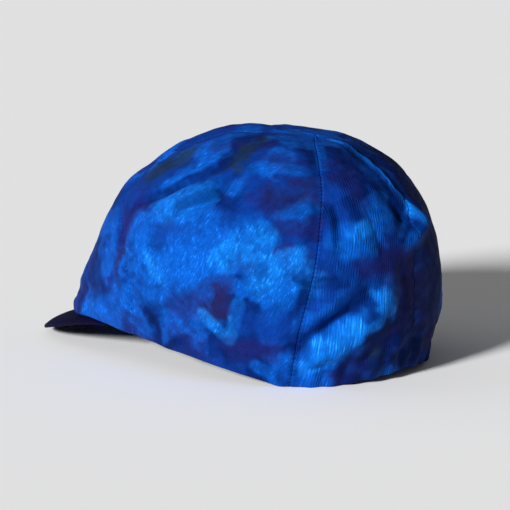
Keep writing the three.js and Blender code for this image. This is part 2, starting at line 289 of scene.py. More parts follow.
def degree_length(angle, share):
    """Millimetres of the smooth crown for each degree round it."""
    half = ANGLE_STEP / 2
    step = smooth_crown(angle + half, share) - smooth_crown(angle - half, share)
    return np.linalg.norm(step, axis=-1) / ANGLE_STEP


def seam_distances(angle, share):
    """Signed distances in millimetres from each seam to each point."""
    turned = np.mod(angle, 360)
    length = degree_length(angle, share)
    distances = []
    for seam in seam_angles(share).values():
        away = np.mod(turned - seam + 180, 360) - 180
        distances.append(away * length)
    return distances


def gather_lift(angle, share):
    """Waves of the gathered rear hem, gone a quarter of the way up."""
    seams = seam_angles(share)
    span = seams["right_rear"] - seams["left_rear"]
    place = np.mod(angle, 360) - seams["left_rear"]
    ramp = smoothstep(place, 0, GATHER_RAMP) * smoothstep(span - place, 0, GATHER_RAMP)
    height = 1 - smoothstep(share, 0, GATHER_TOP_SHARE)
    drift = GATHER_DRIFT * np.sin(2 * math.pi * DRIFT_TURNS * place / span)
    waves = np.cos(2 * math.pi * GATHERS * place / span + drift)
    return GATHER_DEPTH * ramp * height * waves


# Fine relief of the cloth: puckers beside the seams, a faint unevenness everywhere, and the dip that
# is sewn near the top of the turned-up hem
PUCKER_DEPTH = 0.22
PUCKER_LENGTH = 6.5
PUCKER_REACH = 5
PUCKER_SWAY = 2
PUCKER_SWAY_LENGTH = 5
PUCKER_OFFSET = 1.3
UNEVEN_SEED = 7
UNEVEN = [
    dict(waves=26, longest=42, shortest=18, height=0.30),
    dict(waves=30, longest=12, shortest=6, height=0.08),
]
CASING_SHARE = 0.075
CASING_DIP = 0.45
CASING_WIDTH = 0.012


def unevenness(points):
    """Many small waves in all directions, added up, in millimetres."""
    draw = np.random.default_rng(UNEVEN_SEED)
    total = np.zeros(points.shape[:-1])
    for layer in UNEVEN:
        for _ in range(layer["waves"]):
            direction = draw.normal(size=3)
            length = draw.uniform(layer["shortest"], layer["longest"])
            turn = 2 * math.pi * (points @ (direction / np.linalg.norm(direction))) / length
            total += layer["height"] / math.sqrt(layer["waves"] / 2) * np.sin(
                turn + draw.uniform(0, 2 * math.pi)
            )
    return total


def outer_face(angle, share):
    """The outer face of the cloth with its folds, seams, gathers and fine relief."""
    points = smooth_crown(angle, share)
    fade = 1 - smoothstep(share, CALM_SHARE, 1)
    lift = gather_lift(angle, share) + unevenness(points)
    for distance in seam_distances(angle, share):
        lift -= SEAM_DIP * np.exp(-((distance / SEAM_DIP_WIDTH) ** 2))
        turn = 2 * math.pi * points[..., 2] / PUCKER_LENGTH
        sway = PUCKER_SWAY * np.sin(turn / PUCKER_SWAY_LENGTH)
        pucker = np.sin(turn + sway + np.where(distance > 0, PUCKER_OFFSET, 0))
        lift += PUCKER_DEPTH * pucker * np.exp(-((distance / PUCKER_REACH) ** 2))
    for fold in FOLDS + FINE_FOLDS:
        lift += fold_lift(fold, points)
    lift -= CASING_DIP * np.exp(-(((share - CASING_SHARE) / CASING_WIDTH) ** 2))
    return points + outward(angle, share) * (lift * fade)[..., None]


# The cloth, as it is turned in at the seams and up at the hem. Across a seam, away is the distance
# from the seam line and deep is how far below the outer face; at the hem, up is the height above
# the hem's edge and deep is how far inside. Each starts at the cut edge.
CLOTH_THICKNESS = 0.6
SEAM_TURN = [
    dict(away=6.0, deep=1.9), dict(away=4.0, deep=1.9), dict(away=2.0, deep=1.9),
    dict(away=0.9, deep=1.85), dict(away=0.30, deep=1.5), dict(away=0.0, deep=1.1),
    dict(away=-0.03, deep=0.75), dict(away=0.06, deep=0.45), dict(away=0.30, deep=0.2),
    dict(away=0.60, deep=0.06), dict(away=1.0, deep=0.0),
]
HEM_TURN = [
    dict(up=12, deep=2.3), dict(up=9, deep=2.2), dict(up=6, deep=2.15), dict(up=3, deep=2.1),
    dict(up=1.4, deep=2.05), dict(up=0.6, deep=1.85), dict(up=0.16, deep=1.45),
    dict(up=0.0, deep=1.05), dict(up=0.12, deep=0.6), dict(up=0.45, deep=0.22),
    dict(up=1.0, deep=0.04), dict(up=1.6, deep=0.0),
]
HEM_EDGE_ROW = 7
HEM_SHARE_STEP = 0.02
SEAM_CORNER_RISE = 0.7

# The part of its depth that a seam's turn has inside the hem, where it faces the other way, and at
# the hem's edge. It gets its whole depth between two shares of the way up, and has less again where
# a panel is narrower than the full width.
TURN_INSIDE_HEM = -0.4
TURN_AT_HEM = 0.6
TURN_FULL_SHARES = (0.08, 0.12)
FULL_TURN_WIDTH = 24

CLOTH_STEP = 0.9
MIDDLE_STEPS = 400
TOP_ROWS_SHARE = 0.999
WELD_DISTANCE = 1e-6

PANELS = [
    dict(name="front_panel_cloth", node="front_panel", start="right_front", end="left_front",
         weave="front", flat=(0.228, 0.207), area=0.0234,
         sewn_to=["peak", "side_panel_left", "side_panel_right"]),
    dict(name="side_panel_left_cloth", node="side_panel_left", start="left_front",
         end="left_rear", weave="side", flat=(0.145, 0.201), area=0.0184,
         sewn_to=["front_panel", "rear_panel_left"]),
    dict(name="rear_panel_left_cloth", node="rear_panel_left", start="left_rear", end="back",
         weave="rear", flat=(0.086, 0.170), area=0.0104,
         sewn_to=["side_panel_left", "rear_panel_right"]),
    dict(name="rear_panel_right_cloth", node="rear_panel_right", start="back", end="right_rear",
         weave="rear", flat=(0.086, 0.170), area=0.0104,
         sewn_to=["side_panel_right", "rear_panel_left"]),
    dict(name="side_panel_right_cloth", node="side_panel_right", start="right_rear",
         end="right_front", weave="side", flat=(0.145, 0.201), area=0.0184,
         sewn_to=["front_panel", "rear_panel_right"]),
]


def panel_seams(panel, share):
    """The angles of a panel's two seams, the start below the end."""
    seams = seam_angles(share)
    start, end = seams[panel["start"]], seams[panel["end"]]
    return np.where(start > end, start - 360, start), end


def panel_places(panel):
    """Angles, shares and depths of a panel's grid, rows from the turned hem up to the top."""
    middle_share = np.linspace(0, TOP_ROWS_SHARE, MIDDLE_STEPS)
    start, end = panel_seams(panel, middle_share)
    middle = smooth_crown((start + end) / 2, middle_share)
    run = np.concatenate([[0], np.cumsum(np.linalg.norm(np.diff(middle, axis=0), axis=1))])
    rows = np.interp(np.arange(HEM_TURN[-1]["up"] + CLOTH_STEP, run[-1], CLOTH_STEP), run,
                     middle_share)
    rows = np.append(rows, TOP_ROWS_SHARE)
    width = ((end - start) * degree_length((start + end) / 2, middle_share)).max()
    inner = int(width / CLOTH_STEP)

    turn_angles = np.array([turn["away"] for turn in SEAM_TURN])
    turn_depths = np.array([turn["deep"] for turn in SEAM_TURN])
    hem_ups = np.array([turn["up"] for turn in HEM_TURN])
    hem_depths = np.array([turn["deep"] for turn in HEM_TURN])

    share = np.concatenate([np.zeros(len(HEM_TURN)), rows])[:, None]
    start, end = panel_seams(panel, share)
    size = (end - start) * degree_length((start + end) / 2, share)
    shrink = np.clip(size / FULL_TURN_WIDTH, 0, 1)
    left = start + shrink * turn_angles / degree_length(start, share)
    right = end - shrink * turn_angles / degree_length(end, share)
    spread = np.linspace(0, 1, inner + 1)[None, 1:-1]
    between = left[:, -1:] + (right[:, -1:] - left[:, -1:]) * spread
    angle = np.concatenate([left, between, right[:, ::-1]], axis=1)
    seam_depth = np.concatenate([turn_depths, np.zeros(between.shape[1]), turn_depths[::-1]])

    share = np.repeat(share, angle.shape[1], axis=1)
    low = smooth_crown(angle[0], np.zeros(angle.shape[1]))
    high = smooth_crown(angle[0], np.full(angle.shape[1], HEM_SHARE_STEP))
    share[:len(HEM_TURN)] = hem_ups[:, None] / ((high - low)[:, 2] / HEM_SHARE_STEP)
    facing = np.full(angle.shape[0], TURN_INSIDE_HEM)
    full = smoothstep(share[HEM_EDGE_ROW:, 0], *TURN_FULL_SHARES)
    facing[HEM_EDGE_ROW:] = TURN_AT_HEM + (1 - TURN_AT_HEM) * full
    hem_depth = np.concatenate([hem_depths, np.zeros(len(rows))])
    depth = hem_depth[:, None] + facing[:, None] * seam_depth[None, :] * shrink
    return angle, share, depth


def cloth_measures(points):
    """Distances across and up the cloth at each grid point, in metres from its lower middle."""
    across = np.linalg.norm(np.diff(points, axis=1), axis=2)
    across = np.concatenate([np.zeros((points.shape[0], 1)), np.cumsum(across, axis=1)], axis=1)
    across -= across[:, points.shape[1] // 2][:, None]
    up = np.linalg.norm(np.diff(points, axis=0), axis=2)
    up = np.concatenate([np.zeros((1, points.shape[1])), np.cumsum(up, axis=0)], axis=0)
    return np.stack([across, up], axis=-1) * MM


def cloth_grid(name, points, dye, seam, closed_rows=False):
    """A mesh object from rows of points in millimetres.

    Its UV map holds the cloth's measures, and its vertices carry their colour, which on the crown is
    dye with painted shade and highlights in it, and the distance in metres to the nearest seam.
    """
    rows, columns = points.shape[0] - 1, points.shape[1] - 1
    bm = bmesh.new()
    bmesh.ops.create_grid(bm, x_segments=columns, y_segments=rows, size=0.5)
    grid = np.array([vertex.co for vertex in bm.verts])
    column = np.rint((grid[:, 0] + 0.5) * columns).astype(int)
    row = np.rint((grid[:, 1] + 0.5) * rows).astype(int)
    measures = cloth_measures(points)
    uv_layer = bm.loops.layers.uv.new("cloth")
    dye_layer = bm.verts.layers.float_color.new("dye")
    seam_layer = bm.verts.layers.float.new("seam")
    dye = np.concatenate([dye, np.ones(dye.shape[:-1] + (1,))], axis=-1)
    for vertex, place, colour, away in zip(
            bm.verts, points[row, column] * MM, dye[row, column], seam[row, column]):
        vertex.co = place
        vertex[dye_layer] = colour
        vertex[seam_layer] = away
    for face in bm.faces:
        face.smooth = True
        for loop in face.loops:
            index = loop.vert.index
            loop[uv_layer].uv = measures[row[index], column[index]]
    if closed_rows:
        bmesh.ops.remove_doubles(bm, verts=bm.verts, dist=WELD_DISTANCE)
        bmesh.ops.holes_fill(bm, edges=[edge for edge in bm.edges if edge.is_boundary])
        bmesh.ops.recalc_face_normals(bm, faces=bm.faces)
    mesh = bpy.data.meshes.new(name)
    bm.to_mesh(mesh)
    bm.free()
    piece = bpy.data.objects.new(name, mesh)
    bpy.context.scene.collection.objects.link(piece)
    return piece


# Dyes as red, green and blue in linear light. The same colours also paint shade and highlights on
# the crown.
DYE_AND_PAINTED_LIGHT_COLOURS = dict(
    bright=(0.004, 0.125, 0.500),
    azure=(0.002, 0.070, 0.375),
    ultramarine=(0.002, 0.025, 0.185),
    navy=(0.001, 0.006, 0.062),
    purple=(0.008, 0.010, 0.095),
    brown=(0.011, 0.009, 0.055),
    olive=(0.009, 0.022, 0.040),
    wine=(0.004, 0.001, 0.013),
    ink=(0.002, 0.001, 0.018),
)

# Strokes on the crown, each from one place (angle, share) to another. Most are dye; some are painted
# shade in creases, folds, beside seams and on the rear turned from the light, and some are painted
# highlights along ridges and the back seam. width is half its width in millimetres. Later strokes
# lie over earlier ones.
DYE_SHADE_AND_HIGHLIGHT_STROKES = [
    dict(dye="olive", start=(51, .66), end=(52, .76), width=8, strength=.85),
    dict(dye="azure", start=(66, .67), end=(72, .81), width=5, strength=.8),
    dict(dye="purple", start=(61, .52), end=(72, .56), width=7, strength=.5),
    dict(dye="azure", start=(68, .47), end=(74, .54), width=8, strength=.7),
    dict(dye="bright", start=(76, .57), end=(88, .61), width=9, strength=.6),
    dict(dye="ultramarine", start=(78, .46), end=(91, .49), width=8, strength=.6),
    dict(dye="azure", start=(68, .38), end=(81, .29), width=13, strength=.95),
    dict(dye="bright", start=(74, .34), end=(82, .31), width=6, strength=.8),
    dict(dye="azure", start=(85, .38), end=(96, .41), width=11, strength=.8),
    dict(dye="brown", start=(60, .40), end=(64, .21), width=4.5, strength=.85),
    dict(dye="purple", start=(56, .51), end=(59, .40), width=4, strength=.7),
    dict(dye="azure", start=(48, .26), end=(52, .16), width=3, strength=.5),
    dict(dye="azure", start=(43, .06), end=(66, .15), width=9, strength=.85),
    dict(dye="purple", start=(67, .06), end=(72, .03), width=5, strength=.7),
    dict(dye="navy", start=(75, .12), end=(76, .04), width=3, strength=.6),
    dict(dye="azure", start=(72, .23), end=(90, .15), width=9, strength=.7),
    dict(dye="azure", start=(79, .08), end=(86, .09), width=6, strength=.6),
    dict(dye="purple", start=(86, .20), end=(96, .24), width=8, strength=.6),
    dict(dye="olive", start=(79, .89), end=(86, .77), width=6, strength=.9),
    dict(dye="azure", start=(54, .86), end=(46, .92), width=4, strength=.5),
    dict(dye="purple", start=(62, .84), end=(70, .87), width=5, strength=.5),
    dict(dye="azure", start=(77, .92), end=(111, .95), width=3.5, strength=.6),
    dict(dye="azure", start=(98, .85), end=(116, .85), width=2.5, strength=.6),
    dict(dye="purple", start=(103, .82), end=(128, .82), width=5, strength=.6),
    dict(dye="azure", start=(103, .78), end=(128, .78), width=4, strength=.65),
    dict(dye="azure", start=(90, .69), end=(98, .69), width=6, strength=.8),
    dict(dye="brown", start=(118, .70), end=(132, .70), width=9, strength=.7),
    dict(dye="purple", start=(114, .64), end=(120, .62), width=5, strength=.7),
    dict(dye="azure", start=(125, .61), end=(131, .64), width=6, strength=.4),
    dict(dye="purple", start=(124, .55), end=(134, .56), width=5, strength=.7),
    dict(dye="azure", start=(90, .49), end=(109, .48), width=14, strength=.6),
    dict(dye="bright", start=(106, .44), end=(117, .47), width=10, strength=.85),
    dict(dye="purple", start=(123, .47), end=(126, .48), width=3.5, strength=.85),
    dict(dye="bright", start=(120, .37), end=(130, .39), width=10, strength=.8),
    dict(dye="azure", start=(122, .30), end=(129, .34), width=7, strength=.8),
    dict(dye="brown", start=(96, .21), end=(106, .29), width=6, strength=.85),
    dict(dye="brown", start=(104, .27), end=(104, .23), width=4, strength=.8),
    dict(dye="purple", start=(92, .28), end=(106, .34), width=6, strength=.5),
    dict(dye="bright", start=(95, .20), end=(104, .13), width=3.5, strength=.75),
    dict(dye="bright", start=(109, .27), end=(105, .14), width=3.5, strength=.65),
    dict(dye="ultramarine", start=(112, .21), end=(124, .23), width=9, strength=.7),
    dict(dye="purple", start=(106, .09), end=(121, .11), width=8, strength=.7),
    dict(dye="azure", start=(113, .05), end=(117, .04), width=3.5, strength=.6),
    dict(dye="navy", start=(126, .14), end=(123, .03), width=4, strength=.7),
    dict(dye="navy", start=(128, .25), end=(132, .32), width=4, strength=.6),
    dict(dye="navy", start=(146, .84), end=(160, .69), width=12, strength=.8),
    dict(dye="azure", start=(138, .91), end=(140, .81), width=3, strength=.5),
    dict(dye="purple", start=(151, .81), end=(150, .70), width=6, strength=.6),
    dict(dye="ultramarine", start=(140, .69), end=(142, .55), width=6, strength=.7),
    dict(dye="navy", start=(150, .64), end=(152, .58), width=4, strength=.7),
    # Painted shade: navy along the rear hollow, where shade falls.
    dict(dye="navy", start=(144, .54), end=(144, .48), width=3, strength=.7),
    dict(dye="azure", start=(150, .51), end=(166, .58), width=10, strength=.85),
    dict(dye="bright", start=(151, .52), end=(156, .54), width=4, strength=.8),
    # Painted shade: navy in the pinch shadow crease.
    dict(dye="navy", start=(176, .63), end=(176, .56), width=4, strength=.6),
    # Dark dye and painted shade: brown on the lower rear right, darkened where it turns from the
    # light.
    dict(dye="brown", start=(192, .42), end=(198, .14), width=12, strength=.8),
    # Painted highlight: azure along the pinch underside ridge.
    dict(dye="azure", start=(187, .50), end=(176, .46), width=4, strength=.8),
    dict(dye="navy", start=(218, .61), end=(202, .43), width=8, strength=.8),
    dict(dye="navy", start=(134, .37), end=(144, .38), width=4.5, strength=.8),
    dict(dye="purple", start=(156, .42), end=(166, .41), width=5, strength=.8),
    # Azure dye and a painted highlight along the rear upper ridge.
    dict(dye="azure", start=(131, .23), end=(144, .32), width=5, strength=.65),
    # Painted shade: navy along the rear valley, where shade falls.
    dict(dye="navy", start=(130, .15), end=(153, .31), width=4, strength=.7),
    # Azure dye and a painted highlight: azure and bright along the rear lower ridge.
    dict(dye="azure", start=(129, .06), end=(147, .19), width=8, strength=.85),
    dict(dye="azure", start=(147, .19), end=(166, .33), width=7, strength=.85),
    dict(dye="bright", start=(130, .07), end=(147, .19), width=5, strength=.8),
    dict(dye="bright", start=(147, .19), end=(165, .33), width=5, strength=.8),
    dict(dye="navy", start=(160, .17), end=(177, .26), width=7, strength=.85),
    dict(dye="purple", start=(148, .02), end=(164, .10), width=8, strength=.85),
    # Dye and painted shade: purple darkening the lower rear over the gathers.
    dict(dye="purple", start=(146, .03), end=(172, .20), width=10, strength=.85),
    dict(dye="olive", start=(158, .04), end=(159, .10), width=4, strength=.8),
    # Dark dye and painted shade: brown on the rear right, darkened where it turns from the light.
    dict(dye="brown", start=(174, .32), end=(188, .13), width=15, strength=.95),
    dict(dye="navy", start=(164, .08), end=(184, .10), width=8, strength=.8),
    dict(dye="purple", start=(168, .40), end=(168, .27), width=6, strength=.7),
    dict(dye="navy", start=(38, .50), end=(48, .20), width=12, strength=.75),
    dict(dye="navy", start=(150, .01), end=(178, .20), width=9, strength=.8),
    # Dark dye and painted shade: navy on the rear right, darkened where it turns from the light.
    dict(dye="navy", start=(190, .52), end=(194, .26), width=13, strength=.8),
    dict(dye="ultramarine", start=(120, .97), end=(80, .95), width=7, strength=.5),
    # Painted shade: navy beside the lower left rear seam.
    dict(dye="navy", start=(131, .33), end=(126, .02), width=2.6, strength=.7),
    # Painted shade: navy along the side crease and the hooked crease, where shade falls.
    dict(dye="navy", start=(57, .54), end=(68, .63), width=2.6, strength=.6),
    dict(dye="navy", start=(68, .63), end=(80, .79), width=2.6, strength=.6),
    dict(dye="navy", start=(90, .66), end=(80, .58), width=2.4, strength=.55),
    dict(dye="navy", start=(90, .74), end=(91, .66), width=2.2, strength=.5),
    # Painted shade: navy on the far side of the back seam ridge.
    dict(dye="navy", start=(196, .94), end=(191, .62), width=7, strength=.7),
    dict(dye="navy", start=(168, .88), end=(172, .64), width=7, strength=.6),
    # Painted highlights: bright lines along the back seam's ridge and over the pinch corner.
    dict(dye="bright", start=(184, .96), end=(181, .82), width=1.5, strength=.8),
    dict(dye="bright", start=(181, .82), end=(181, .70), width=1.5, strength=.8),
    dict(dye="bright", start=(181, .70), end=(182, .60), width=1.7, strength=.8),
    dict(dye="bright", start=(182.5, .58), end=(187, .51), width=2.4, strength=.8),
    # Painted shade: navy in the pinch shadow crease.
    dict(dye="navy", start=(178, .60), end=(172, .54), width=3, strength=.7),
    dict(dye="navy", start=(204, .80), end=(200, .60), width=22, strength=.7),
    dict(dye="azure", start=(228, .62), end=(238, .48), width=14, strength=.7),
    dict(dye="azure", start=(214, .28), end=(232, .20), width=15, strength=.7),
    dict(dye="bright", start=(238, .42), end=(256, .38), width=14, strength=.7),
    dict(dye="olive", start=(258, .72), end=(268, .68), width=10, strength=.85),
    dict(dye="purple", start=(210, .45), end=(222, .40), width=9, strength=.7),
    dict(dye="azure", start=(268, .34), end=(285, .24), width=15, strength=.8),
    dict(dye="brown", start=(246, .20), end=(262, .10), width=9, strength=.7),
    dict(dye="purple", start=(286, .60), end=(300, .50), width=12, strength=.7),
    dict(dye="brown", start=(296, .26), end=(306, .12), width=12, strength=.8),
    dict(dye="azure", start=(284, .80), end=(250, .86), width=5, strength=.6),
    dict(dye="azure", start=(318, .50), end=(342, .42), width=15, strength=.8),
    dict(dye="bright", start=(326, .40), end=(336, .34), width=8, strength=.7),
    dict(dye="purple", start=(336, .72), end=(352, .80), width=12, strength=.7),
    dict(dye="azure", start=(352, .36), end=(12, .26), width=16, strength=.8),
    dict(dye="bright", start=(350, .14), end=(8, .10), width=7, strength=.7),
    dict(dye="navy", start=(10, .58), end=(26, .52), width=13, strength=.8),
    dict(dye="olive", start=(352, .62), end=(8, .66), width=8, strength=.7),
    dict(dye="purple", start=(20, .18), end=(32, .10), width=9, strength=.7),
    dict(dye="azure", start=(28, .40), end=(44, .44), width=8, strength=.7),
    dict(dye="brown", start=(12, .42), end=(22, .36), width=7, strength=.7),
    dict(dye="azure", start=(20, .78), end=(36, .74), width=7, strength=.6),
    dict(dye="navy", start=(330, .16), end=(344, .10), width=9, strength=.7),
]

# A stroke is whole over its core and gone past its reach, as shares of its half width. Strokes
# narrower than the fine one keep a clean path.
STROKE_CORE = 0.55
STROKE_REACH = 1.35
FINE_STROKE = 4.1

# Clouds are smooth random values read from layers of a lattice. Sizes are in millimetres.
CLOUD_SEED = 11
CLOUD_LAYERS = 8
CLOUD_CELLS = 32
CLOUD_OCTAVES = 4
CLOUD_LATTICE = np.random.default_rng(CLOUD_SEED).random((CLOUD_LAYERS,) + (CLOUD_CELLS,) * 3)
WARPS = [dict(size=16, reach=9), dict(size=5, reach=3.5)]
WARP_LAYERS = (5, 6, 7)

# The cloth's first dye, the clouds of dye over all of it, and how patchy and mottled it all is
GROUND_DYE = "ultramarine"
DYE_CLOUDS = [
    dict(dye="navy", size=30, layer=0, low=0.46, high=0.60, strength=0.8),
    dict(dye="azure", size=18, layer=1, low=0.50, high=0.66, strength=0.7),
    dict(dye="purple", size=15, layer=2, low=0.56, high=0.68, strength=0.6),
]
PATCHES = dict(size=4, layer=3, low=0.45, high=0.65, strength=0.5)
FINE_MOTTLE = dict(size=3.2, layer=4, strength=0.55)
BROAD_MOTTLE = dict(size=9, layer=3, strength=0.5)


def lattice_values(points, size, layer):
    """Smooth random values from 0 to 1, in lumps of one size."""
    place = points / size
    corner = np.floor(place).astype(int)
    part = place - corner
    part = part * part * (3 - 2 * part)
    total = np.zeros(points.shape[:-1])
    for step in np.ndindex(2, 2, 2):
        index = np.mod(corner + step, CLOUD_CELLS)
        weight = np.where(step, part, 1 - part).prod(axis=-1)
        total += weight * CLOUD_LATTICE[layer, index[..., 0], index[..., 1], index[..., 2]]
    return total


def clouds(points, size, layer):
    """Random values from 0 to 1, in lumps of one size with finer and fainter ones over them."""
    weights = [0.5 ** octave for octave in range(CLOUD_OCTAVES)]
    layers = (lattice_values(points, size * weight, layer) * weight for weight in weights)
    return sum(layers) / sum(weights)


def warped(points):
    """Points pushed about at random, so that what is read there gets cloudy edges."""
    moved = points.copy()
    for warp in WARPS:
        push = [clouds(points, warp["size"], layer) - 0.5 for layer in WARP_LAYERS]
        moved += 2 * warp["reach"] * np.stack(push, axis=-1)
    return moved


def blend(colour, dye, mask):
    """Colours mixed by a mask with one of the listed colours, used both as dye and as painted shade
    and highlights.
    """
    return colour + (np.array(DYE_AND_PAINTED_LIGHT_COLOURS[dye]) - colour) * mask[..., None]


def cloud_cover(points, cloud):
    """A mask of one kind of cloud, from 0 between the clouds to its strength within them."""
    values = clouds(points, cloud["size"], cloud["layer"])
    return cloud["strength"] * smoothstep(values, cloud["low"], cloud["high"])


def mottle(points, cloud):
    """Random values about 0, as wide as the cloud's strength."""
    return cloud["strength"] * (clouds(points, cloud["size"], cloud["layer"]) - 0.5)


def paint(points):
    """Colours of the crown at points of its smooth surface, in millimetres: its dye, with painted
    shade and painted highlights on some folds, seams and ridges.
    """
    moved = warped(points)
    colour = np.zeros(points.shape) + DYE_AND_PAINTED_LIGHT_COLOURS[GROUND_DYE]
    for cloud in DYE_CLOUDS:
        colour = blend(colour, cloud["dye"], cloud_cover(moved, cloud))
    whole = 1 - cloud_cover(points, PATCHES)
    for stroke in DYE_SHADE_AND_HIGHLIGHT_STROKES:
        start, end = (smooth_crown(*stroke[place]) for place in ("start", "end"))
        leg = end - start
        width = stroke["width"]
        place = points if width < FINE_STROKE else moved
        along = np.clip((place - start) @ leg / (leg @ leg), 0, 1)
        away = np.linalg.norm(place - start - along[..., None] * leg, axis=-1)
        mask = 1 - smoothstep(away, STROKE_CORE * width, STROKE_REACH * width)
        colour = blend(colour, stroke["dye"], mask * stroke["strength"] * whole)
    shade = 1 + mottle(points, FINE_MOTTLE) + mottle(moved, BROAD_MOTTLE)
    return colour * shade[..., None]


class Nodes:
    """Adds and links the nodes of one tree in few words."""

    def __init__(self, tree):
        self.tree = tree

    def add(self, kind, sockets=None, **settings):
        """A node of one kind, with its settings, and its sockets set to values or linked."""
        node = self.tree.nodes.new(kind)
        for name, value in settings.items():
            setattr(node, name, value)
        for key, value in (sockets or {}).items():
            self.feed(node.inputs[key], value)
        return node

    def feed(self, socket, value):
        """Links a socket, or sets its value."""
        if isinstance(value, bpy.types.NodeSocket):
            self.tree.links.new(value, socket)
        else:
            socket.default_value = value

    def math(self, operation, *values):
        """The result of a Math node."""
        return self.add("ShaderNodeMath", dict(enumerate(values)), operation=operation).outputs[0]

    def mix(self, share, first, second):
        """A colour between two others."""
        node = self.add("ShaderNodeMix", data_type="RGBA")
        for index, value in ((0, share), (6, first), (7, second)):
            self.feed(node.inputs[index], value)
        return node.outputs[2]

    def ramp(self, value, low, high, to_low=0.0, to_high=1.0):
        """A value eased from one range to another."""
        node = self.add("ShaderNodeMapRange", interpolation_type="SMOOTHSTEP")
        for index, number in enumerate((value, low, high, to_low, to_high)):
            self.feed(node.inputs[index], number)
        return node.outputs[0]

    def noise(self, vector, scale, detail, roughness):
        """Noise from 0 to 1, read at a place."""
        return self.add("ShaderNodeTexNoise", {
            "Vector": vector, "Scale": scale, "Detail": detail, "Roughness": roughness,
        }).outputs[0]


def shader_group(name, inputs, outputs):
    """An empty node group with named inputs and outputs, each (name, kind, value)."""
    tree = bpy.data.node_groups.new(name, "ShaderNodeTree")
    for label, kind, value in inputs:
        socket = tree.interface.new_socket(label, in_out="INPUT", socket_type=kind)
        if value is not None:
            socket.default_value = value
    for label, kind in outputs:
        tree.interface.new_socket(label, in_out="OUTPUT", socket_type=kind)
    nodes = Nodes(tree)
    return nodes, nodes.add("NodeGroupInput"), nodes.add("NodeGroupOutput")


# The weave, in metres, and in lumps for each metre where it is a scale. Its ribs wander sideways and
# are worn away in places. Brushed streaks lie along them, and fine flecks lie over all.
RIB_SPACING = 0.0011
RIB_HEIGHT = 0.5
RIB_WANDER = 0.0016
RIB_WANDER_SCALE = 320.0
RIB_WEAR_SCALE = 110.0
RIB_WEAR = (0.35, 0.65)
RIB_NOISE = dict(detail=2.0, roughness=0.55)
STREAK_LENGTH = 0.003
STREAK_SCALE = 1100.0
FLECK_SCALE = (1900.0, 1200.0, 1.0)
FLECK_NOISE = dict(detail=3.0, roughness=0.6)

# Stitches of the seams, in metres. A wave parts them, and each is whole within a core of its width.
STITCH_LENGTH = 0.0022
STITCH_AWAY = 0.0006
STITCH_WIDTH = 0.0006
STITCH_CORE = 0.4
STITCH_WAVE = (-0.2, 0.5)


def make_weave_group():
    """A woven cloth read from its own measures: its height, and masks of brushed and fine flecks."""
    nodes, given, result = shader_group(
        "weave",
        [("Cloth", "NodeSocketVector", None), ("Turn", "NodeSocketFloat", 0.0),
         ("Rib Spacing", "NodeSocketFloat", RIB_SPACING),
         ("Streak Length", "NodeSocketFloat", STREAK_LENGTH)],
        [("Height", "NodeSocketFloat"), ("Ribs", "NodeSocketFloat"),
         ("Brushed", "NodeSocketFloat"), ("Flecks", "NodeSocketFloat")],
    )
    turned = nodes.add("ShaderNodeVectorRotate", {
        "Vector": given.outputs["Cloth"], "Angle": given.outputs["Turn"],
    }, rotation_type="Z_AXIS").outputs[0]
    wander = nodes.noise(turned, RIB_WANDER_SCALE, **RIB_NOISE)
    parts = nodes.add("ShaderNodeSeparateXYZ", {0: turned})
    sideways = nodes.math("MULTIPLY_ADD", wander, RIB_WANDER, parts.outputs[0])
    turns = nodes.math("DIVIDE", sideways, given.outputs["Rib Spacing"])
    wave = nodes.math("SINE", nodes.math("MULTIPLY", turns, 2 * math.pi))
    worn = nodes.noise(turned, RIB_WEAR_SCALE, **RIB_NOISE)
    ribs = nodes.math("MULTIPLY", wave, nodes.ramp(worn, *RIB_WEAR))
    streaks = nodes.add("ShaderNodeCombineXYZ", {
        0: nodes.math("MULTIPLY", parts.outputs[0], STREAK_SCALE),
        1: nodes.math("DIVIDE", parts.outputs[1], given.outputs["Streak Length"]),
    }).outputs[0]
    grains = nodes.add("ShaderNodeVectorMath", {0: turned, 1: FLECK_SCALE},
                       operation="MULTIPLY").outputs[0]
    brushed, flecks = (nodes.noise(place, 1.0, **FLECK_NOISE) for place in (streaks, grains))
    nodes.feed(result.inputs["Height"], nodes.math("MULTIPLY_ADD", ribs, RIB_HEIGHT, flecks))
    nodes.feed(result.inputs["Ribs"], ribs)
    nodes.feed(result.inputs["Brushed"], brushed)
    nodes.feed(result.inputs["Flecks"], flecks)
    return nodes.tree


def make_stitch_group():
    """Short stitches in a row beside a seam, read from the cloth and the distance to the seam."""
    nodes, given, result = shader_group(
        "stitches", [("Cloth", "NodeSocketVector", None), ("Seam", "NodeSocketFloat", 0.0)],
        [("Thread", "NodeSocketFloat")],
    )
    up = nodes.add("ShaderNodeSeparateXYZ", {0: given.outputs["Cloth"]}).outputs[1]
    wave = nodes.math("SINE", nodes.math("MULTIPLY", up, 2 * math.pi / STITCH_LENGTH))
    row = nodes.math("ABSOLUTE", nodes.math("SUBTRACT", given.outputs["Seam"], STITCH_AWAY))
    thread = nodes.math("MULTIPLY", nodes.ramp(wave, *STITCH_WAVE),
                        nodes.ramp(row, STITCH_WIDTH, STITCH_CORE * STITCH_WIDTH))
    nodes.feed(result.inputs["Thread"], thread)
    return nodes.tree


WEAVE = make_weave_group()
STITCHES = make_stitch_group()

# How each piece's cloth is turned, how strongly its ribs show, and how deep its relief is
WEAVES = dict(
    front=dict(turn=-24, spacing=0.0010, streak=0.003, ribs=0.06, depth=0.00009),
    side=dict(turn=30, spacing=0.0010, streak=0.0042, ribs=0.07, depth=0.00010),
    rear=dict(turn=2, spacing=0.0014, streak=0.011, ribs=0.24, depth=0.00018),
    peak=dict(turn=0, spacing=0.0010, streak=0.003, ribs=0.05, depth=0.00008),
)

